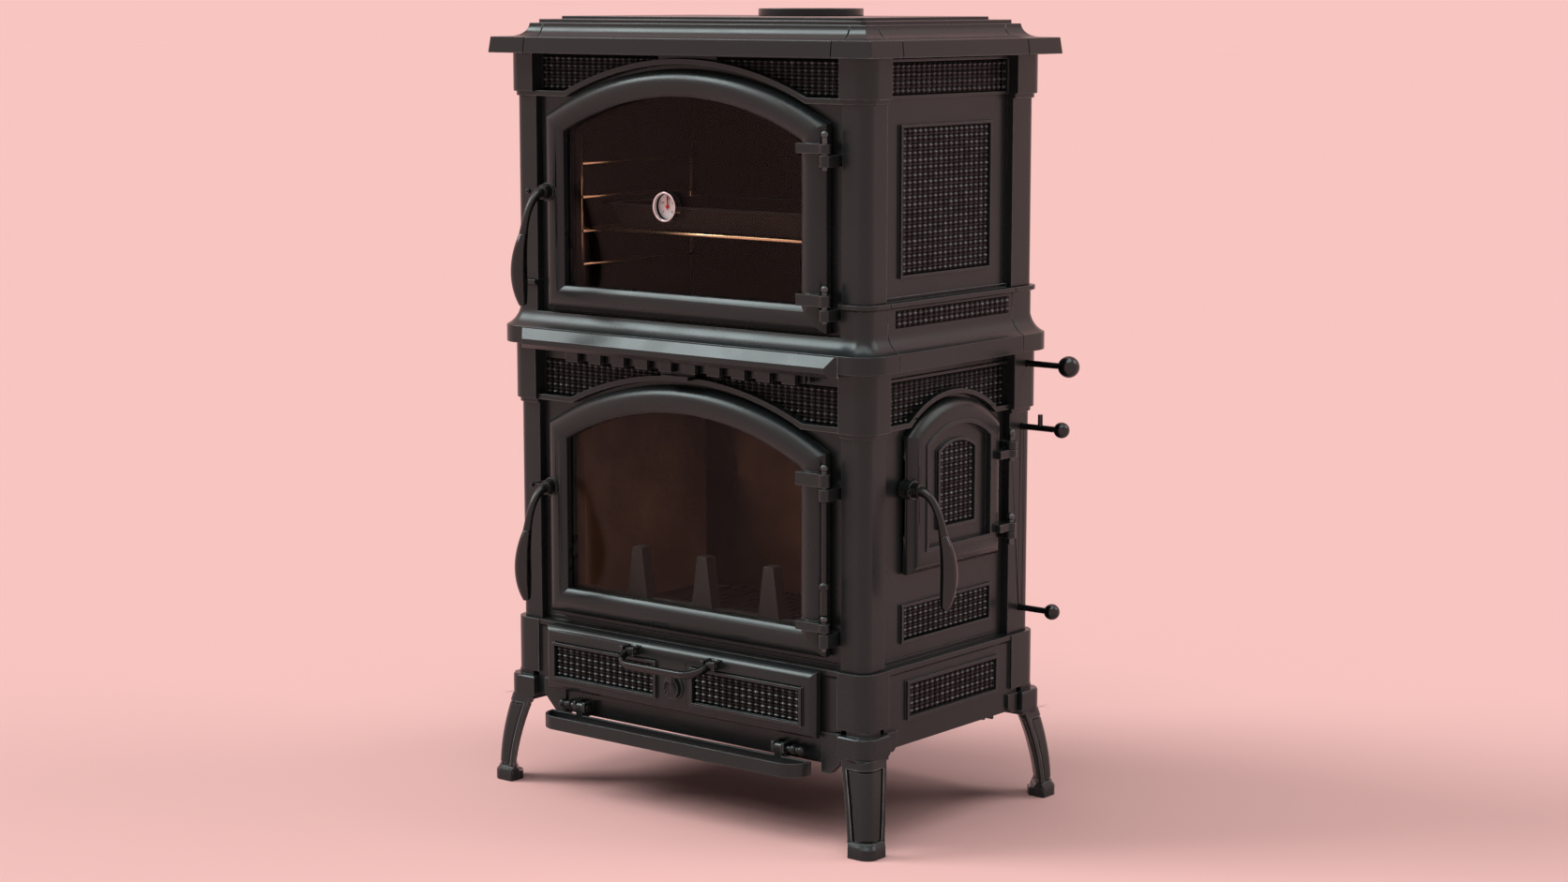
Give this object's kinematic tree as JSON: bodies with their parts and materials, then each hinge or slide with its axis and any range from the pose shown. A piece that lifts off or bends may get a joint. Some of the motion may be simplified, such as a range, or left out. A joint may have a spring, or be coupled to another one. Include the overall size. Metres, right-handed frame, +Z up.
{
  "type": "cast iron wood cookstove",
  "caption": "Free-standing cast iron wood stove: firebox with glazed door and side door below, oven with glazed door above, ash drawer, top flue collar, four legs.",
  "frame": {"origin": "on the floor, under the middle of the whole outline, levers and rail included", "axes": "+Z up, the glazed doors face -Y, the levers and the side door are on the +X side"},
  "size_m": [0.8675, 0.5828, 1.285],
  "materials": {
    "cast_iron": "satin black stove finish over cast grain",
    "dark_steel": "oiled dark steel",
    "bright_steel": "worn bright steel",
    "black_steel": "semi-gloss black",
    "gloss_grip": "gloss black heat-proof grip",
    "oven_enamel": "gloss black enamel",
    "sheet_steel": "dull zinc-coated sheet",
    "bright_wire": "plated wire",
    "firebrick": "matt refractory brick",
    "oven_glass": "clear ceramic glass",
    "fire_glass": "clear ceramic glass",
    "rope_seal": "woven glass-fibre rope",
    "dial_chrome": "polished rim, white dial",
    "needle_red": "red enamel"
  },
  "bodies": {
    "stove_body": {"base_frame": "cast_iron", "leg_front_left": "cast_iron", "leg_front_right": "cast_iron", "leg_rear_left": "cast_iron", "leg_rear_right": "cast_iron", "lower_front_frame": "cast_iron", "lower_left_panel": "cast_iron", "lower_right_panel": "cast_iron", "lower_back_panel": "cast_iron", "lower_post_front_left": "cast_iron", "lower_post_front_right": "cast_iron", "lower_post_rear_left": "cast_iron", "lower_post_rear_right": "cast_iron", "waist_frame": "cast_iron", "waist_rail": "cast_iron", "upper_front_frame": "cast_iron", "upper_left_panel": "cast_iron", "upper_right_panel": "cast_iron", "upper_back_panel": "cast_iron", "upper_post_front_left": "cast_iron", "upper_post_front_right": "cast_iron", "upper_post_rear_left": "cast_iron", "upper_post_rear_right": "cast_iron", "top_plate": "cast_iron", "flue_collar": "cast_iron", "baffle_plate": "cast_iron", "log_guard": "cast_iron", "tie_rods_and_leg_bolts": "dark_steel", "hinge_pins": "dark_steel", "oven_box": "oven_enamel", "rack_supports": "bright_wire", "oven_rack": "bright_wire", "baking_tray": "oven_enamel", "firebricks": "firebrick", "door_spring": "bright_steel"},
    "oven_door": {"oven_door_frame": "cast_iron", "oven_door_glass": "oven_glass", "oven_door_gasket": "rope_seal", "thermometer": "dial_chrome"},
    "needle": {"thermometer_needle": "needle_red"},
    "oven_handle": {"oven_handle_arm": "black_steel", "oven_handle_grip": "gloss_grip"},
    "fire_door": {"fire_door_frame": "cast_iron", "fire_door_glass": "fire_glass", "fire_door_gasket": "rope_seal"},
    "fire_handle": {"fire_handle_arm": "black_steel", "fire_handle_grip": "gloss_grip"},
    "side_door": {"side_door_frame": "cast_iron"},
    "side_handle": {"side_handle_arm": "black_steel", "side_handle_grip": "gloss_grip"},
    "ash_drawer": {"ash_door": "cast_iron", "ash_pan": "sheet_steel"},
    "bail": {"ash_bail": "black_steel"},
    "cover": {"air_cover": "black_steel"},
    "rail": {"front_rail": "cast_iron"},
    "slider": {"air_slider": "black_steel"},
    "damper": {"damper_lever": "black_steel"},
    "air_register": {"air_lever": "black_steel"},
    "grate": {"grate_lever": "black_steel", "fire_grate": "cast_iron"}
  },
  "joints": [
    {"name": "oven_door_swing", "type": "hinge", "parent": "stove_body", "child": "oven_door", "pos_m": [0.26525, -0.21263, 0.955], "axis": [0, 0, 1], "range_deg": [0, 105]},
    {"name": "oven_handle_turn", "type": "hinge", "parent": "oven_door", "child": "oven_handle", "pos_m": [-0.30675, -0.21163, 0.992], "axis": [0, 1, 0], "range_deg": [0, 60]},
    {"name": "thermometer_needle_turn", "type": "hinge", "parent": "oven_door", "child": "needle", "pos_m": [-0.06175, -0.19563, 0.978], "axis": [0, -1, 0], "range_deg": [-130, 130]},
    {"name": "fire_door_swing", "type": "hinge", "parent": "stove_body", "child": "fire_door", "pos_m": [0.26525, -0.21263, 0.455], "axis": [0, 0, 1], "range_deg": [0, 105]},
    {"name": "fire_handle_turn", "type": "hinge", "parent": "fire_door", "child": "fire_handle", "pos_m": [-0.30675, -0.21163, 0.509], "axis": [0, 1, 0], "range_deg": [0, 60]},
    {"name": "side_door_swing", "type": "hinge", "parent": "stove_body", "child": "side_door", "pos_m": [0.34525, 0.16937, 0.523], "axis": [0, 0, 1], "range_deg": [0, 100]},
    {"name": "side_handle_turn", "type": "hinge", "parent": "side_door", "child": "side_handle", "pos_m": [0.33975, -0.08263, 0.554], "axis": [-1, 0, 0], "range_deg": [0, 60]},
    {"name": "ash_drawer_slide", "type": "slide", "parent": "stove_body", "child": "ash_drawer", "axis": [0, -1, 0], "range_m": [0, 0.3]},
    {"name": "ash_bail_lift", "type": "hinge", "parent": "ash_drawer", "child": "bail", "pos_m": [-0.03475, -0.22963, 0.264], "axis": [-1, 0, 0], "range_deg": [0, 75]},
    {"name": "air_cover_swivel", "type": "hinge", "parent": "ash_drawer", "child": "cover", "pos_m": [-0.03475, -0.22363, 0.228], "axis": [0, 1, 0], "range_deg": [-75, 75]},
    {"name": "front_rail_fold", "type": "hinge", "parent": "stove_body", "child": "rail", "pos_m": [-0.03475, -0.20763, 0.148], "axis": [-1, 0, 0], "range_deg": [0, 70]},
    {"name": "air_slider_slide", "type": "slide", "parent": "stove_body", "child": "slider", "axis": [1, 0, 0], "range_m": [-0.02, 0.02]},
    {"name": "damper_lever_pull", "type": "slide", "parent": "stove_body", "child": "damper", "axis": [1, 0, 0], "range_m": [0, 0.05]},
    {"name": "air_lever_pull", "type": "slide", "parent": "stove_body", "child": "air_register", "axis": [1, 0, 0], "range_m": [0, 0.04]},
    {"name": "grate_lever_pull", "type": "slide", "parent": "stove_body", "child": "grate", "axis": [1, 0, 0], "range_m": [0, 0.03]}
  ]
}
